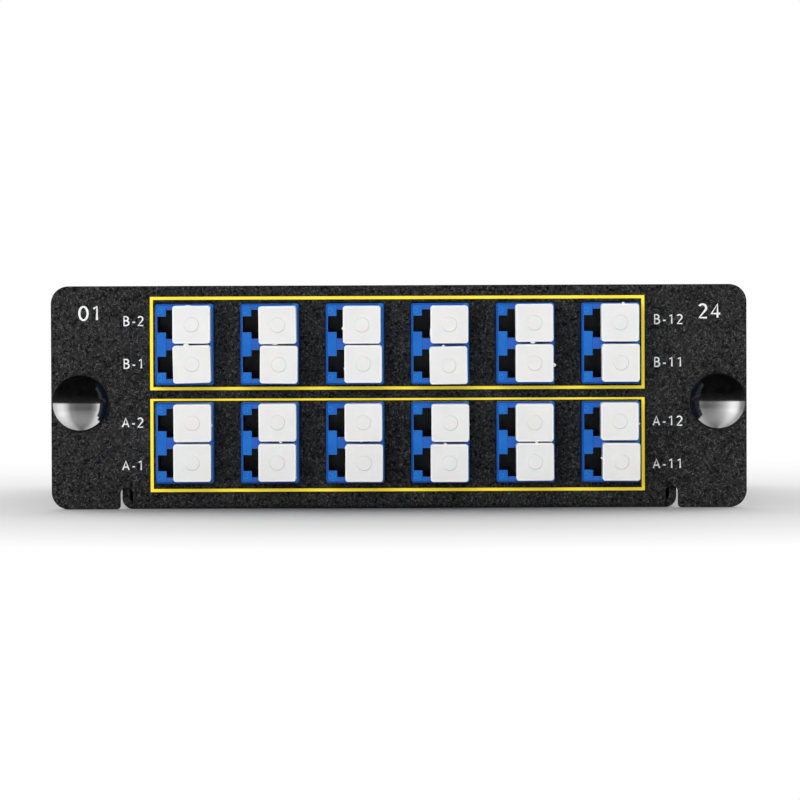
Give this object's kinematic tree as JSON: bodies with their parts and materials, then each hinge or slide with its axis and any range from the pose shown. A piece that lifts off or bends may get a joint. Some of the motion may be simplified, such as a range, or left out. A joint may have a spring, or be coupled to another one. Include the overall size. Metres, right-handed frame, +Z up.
{
  "type": "fibre cassette",
  "caption": "Black sheet-metal fibre tap cassette with two rows of blue duplex LC ports under white dust plugs, push-pull latches and a rear multi-fibre socket.",
  "frame": {"origin": "centre of the whole object's box in X and Y, on the plane of the case's underside", "axes": "+Z up, +X to the right as seen from the front, the front plate faces -Y"},
  "size_m": [0.109, 0.1146, 0.035],
  "materials": {
    "powder_coat": "fine textured black powder coat",
    "zinc_steel": "zinc-plated sheet",
    "black_screw": "black oxide, satin",
    "zirconia": "polished zirconia",
    "yellow_ink": "screen-printed ink",
    "blue_plastic": "moulded, satin gloss",
    "white_plastic": "soft moulded polyethylene",
    "white_boot": "moulded elastomer",
    "yellow_fibre": "extruded buffer",
    "splitter_steel": "drawn stainless tube",
    "tray_plastic": "moulded, matt",
    "clear_tube": "extruded loose tube",
    "black_plastic": "moulded, fine texture",
    "black_boot": "moulded elastomer",
    "latch_plastic": "polished nylon"
  },
  "bodies": {
    "case": {"adapter_bracket": "zinc_steel", "alignment_sleeves": "zirconia", "case_screws": "black_screw", "chassis": "powder_coat", "latch_grommet_left": "latch_plastic", "latch_grommet_right": "latch_plastic", "lc_adapter_a1": "blue_plastic", "lc_adapter_a2": "blue_plastic", "lc_adapter_a3": "blue_plastic", "lc_adapter_a4": "blue_plastic", "lc_adapter_a5": "blue_plastic", "lc_adapter_a6": "blue_plastic", "lc_adapter_b1": "blue_plastic", "lc_adapter_b2": "blue_plastic", "lc_adapter_b3": "blue_plastic", "lc_adapter_b4": "blue_plastic", "lc_adapter_b5": "blue_plastic", "lc_adapter_b6": "blue_plastic", "mpo_adapter": "black_plastic", "mpo_adapter_screws": "black_screw", "mpo_boot": "black_boot", "mpo_plug": "black_plastic", "pigtail_boots": "white_boot", "pigtail_ferrules": "zirconia", "pigtail_fibres_a": "yellow_fibre", "pigtail_fibres_b": "yellow_fibre", "pigtail_plugs": "blue_plastic", "port_group_lines": "yellow_ink", "splitter_tray": "tray_plastic", "splitter_tubes": "splitter_steel", "tap_tube": "clear_tube", "top_cover": "powder_coat"},
    "dust_plug_a1": {"dust_plug_a1": "white_plastic"},
    "dust_plug_a2": {"dust_plug_a2": "white_plastic"},
    "dust_plug_a3": {"dust_plug_a3": "white_plastic"},
    "dust_plug_a4": {"dust_plug_a4": "white_plastic"},
    "dust_plug_a5": {"dust_plug_a5": "white_plastic"},
    "dust_plug_a6": {"dust_plug_a6": "white_plastic"},
    "dust_plug_a7": {"dust_plug_a7": "white_plastic"},
    "dust_plug_a8": {"dust_plug_a8": "white_plastic"},
    "dust_plug_a9": {"dust_plug_a9": "white_plastic"},
    "dust_plug_a10": {"dust_plug_a10": "white_plastic"},
    "dust_plug_a11": {"dust_plug_a11": "white_plastic"},
    "dust_plug_a12": {"dust_plug_a12": "white_plastic"},
    "dust_plug_b1": {"dust_plug_b1": "white_plastic"},
    "dust_plug_b2": {"dust_plug_b2": "white_plastic"},
    "dust_plug_b3": {"dust_plug_b3": "white_plastic"},
    "dust_plug_b4": {"dust_plug_b4": "white_plastic"},
    "dust_plug_b5": {"dust_plug_b5": "white_plastic"},
    "dust_plug_b6": {"dust_plug_b6": "white_plastic"},
    "dust_plug_b7": {"dust_plug_b7": "white_plastic"},
    "dust_plug_b8": {"dust_plug_b8": "white_plastic"},
    "dust_plug_b9": {"dust_plug_b9": "white_plastic"},
    "dust_plug_b10": {"dust_plug_b10": "white_plastic"},
    "dust_plug_b11": {"dust_plug_b11": "white_plastic"},
    "dust_plug_b12": {"dust_plug_b12": "white_plastic"},
    "latch_plunger_left": {"latch_plunger_left": "latch_plastic"},
    "latch_plunger_right": {"latch_plunger_right": "latch_plastic"},
    "mpo_dust_cap": {"mpo_dust_cap": "white_plastic"}
  },
  "joints": [
    {"name": "dust_plug_a1_pull", "type": "slide", "parent": "case", "child": "dust_plug_a1", "axis": [0, -1, 0], "range_m": [0, 0.01]},
    {"name": "dust_plug_a2_pull", "type": "slide", "parent": "case", "child": "dust_plug_a2", "axis": [0, -1, 0], "range_m": [0, 0.01]},
    {"name": "dust_plug_a3_pull", "type": "slide", "parent": "case", "child": "dust_plug_a3", "axis": [0, -1, 0], "range_m": [0, 0.01]},
    {"name": "dust_plug_a4_pull", "type": "slide", "parent": "case", "child": "dust_plug_a4", "axis": [0, -1, 0], "range_m": [0, 0.01]},
    {"name": "dust_plug_a5_pull", "type": "slide", "parent": "case", "child": "dust_plug_a5", "axis": [0, -1, 0], "range_m": [0, 0.01]},
    {"name": "dust_plug_a6_pull", "type": "slide", "parent": "case", "child": "dust_plug_a6", "axis": [0, -1, 0], "range_m": [0, 0.01]},
    {"name": "dust_plug_a7_pull", "type": "slide", "parent": "case", "child": "dust_plug_a7", "axis": [0, -1, 0], "range_m": [0, 0.01]},
    {"name": "dust_plug_a8_pull", "type": "slide", "parent": "case", "child": "dust_plug_a8", "axis": [0, -1, 0], "range_m": [0, 0.01]},
    {"name": "dust_plug_a9_pull", "type": "slide", "parent": "case", "child": "dust_plug_a9", "axis": [0, -1, 0], "range_m": [0, 0.01]},
    {"name": "dust_plug_a10_pull", "type": "slide", "parent": "case", "child": "dust_plug_a10", "axis": [0, -1, 0], "range_m": [0, 0.01]},
    {"name": "dust_plug_a11_pull", "type": "slide", "parent": "case", "child": "dust_plug_a11", "axis": [0, -1, 0], "range_m": [0, 0.01]},
    {"name": "dust_plug_a12_pull", "type": "slide", "parent": "case", "child": "dust_plug_a12", "axis": [0, -1, 0], "range_m": [0, 0.01]},
    {"name": "dust_plug_b1_pull", "type": "slide", "parent": "case", "child": "dust_plug_b1", "axis": [0, -1, 0], "range_m": [0, 0.01]},
    {"name": "dust_plug_b2_pull", "type": "slide", "parent": "case", "child": "dust_plug_b2", "axis": [0, -1, 0], "range_m": [0, 0.01]},
    {"name": "dust_plug_b3_pull", "type": "slide", "parent": "case", "child": "dust_plug_b3", "axis": [0, -1, 0], "range_m": [0, 0.01]},
    {"name": "dust_plug_b4_pull", "type": "slide", "parent": "case", "child": "dust_plug_b4", "axis": [0, -1, 0], "range_m": [0, 0.01]},
    {"name": "dust_plug_b5_pull", "type": "slide", "parent": "case", "child": "dust_plug_b5", "axis": [0, -1, 0], "range_m": [0, 0.01]},
    {"name": "dust_plug_b6_pull", "type": "slide", "parent": "case", "child": "dust_plug_b6", "axis": [0, -1, 0], "range_m": [0, 0.01]},
    {"name": "dust_plug_b7_pull", "type": "slide", "parent": "case", "child": "dust_plug_b7", "axis": [0, -1, 0], "range_m": [0, 0.01]},
    {"name": "dust_plug_b8_pull", "type": "slide", "parent": "case", "child": "dust_plug_b8", "axis": [0, -1, 0], "range_m": [0, 0.01]},
    {"name": "dust_plug_b9_pull", "type": "slide", "parent": "case", "child": "dust_plug_b9", "axis": [0, -1, 0], "range_m": [0, 0.01]},
    {"name": "dust_plug_b10_pull", "type": "slide", "parent": "case", "child": "dust_plug_b10", "axis": [0, -1, 0], "range_m": [0, 0.01]},
    {"name": "dust_plug_b11_pull", "type": "slide", "parent": "case", "child": "dust_plug_b11", "axis": [0, -1, 0], "range_m": [0, 0.01]},
    {"name": "dust_plug_b12_pull", "type": "slide", "parent": "case", "child": "dust_plug_b12", "axis": [0, -1, 0], "range_m": [0, 0.01]},
    {"name": "latch_pull_left", "type": "slide", "parent": "case", "child": "latch_plunger_left", "axis": [0, -1, 0], "range_m": [0, 0.0045]},
    {"name": "latch_pull_right", "type": "slide", "parent": "case", "child": "latch_plunger_right", "axis": [0, -1, 0], "range_m": [0, 0.0045]},
    {"name": "mpo_cap_pull", "type": "slide", "parent": "case", "child": "mpo_dust_cap", "axis": [0, 1, 0], "range_m": [0, 0.01]}
  ]
}
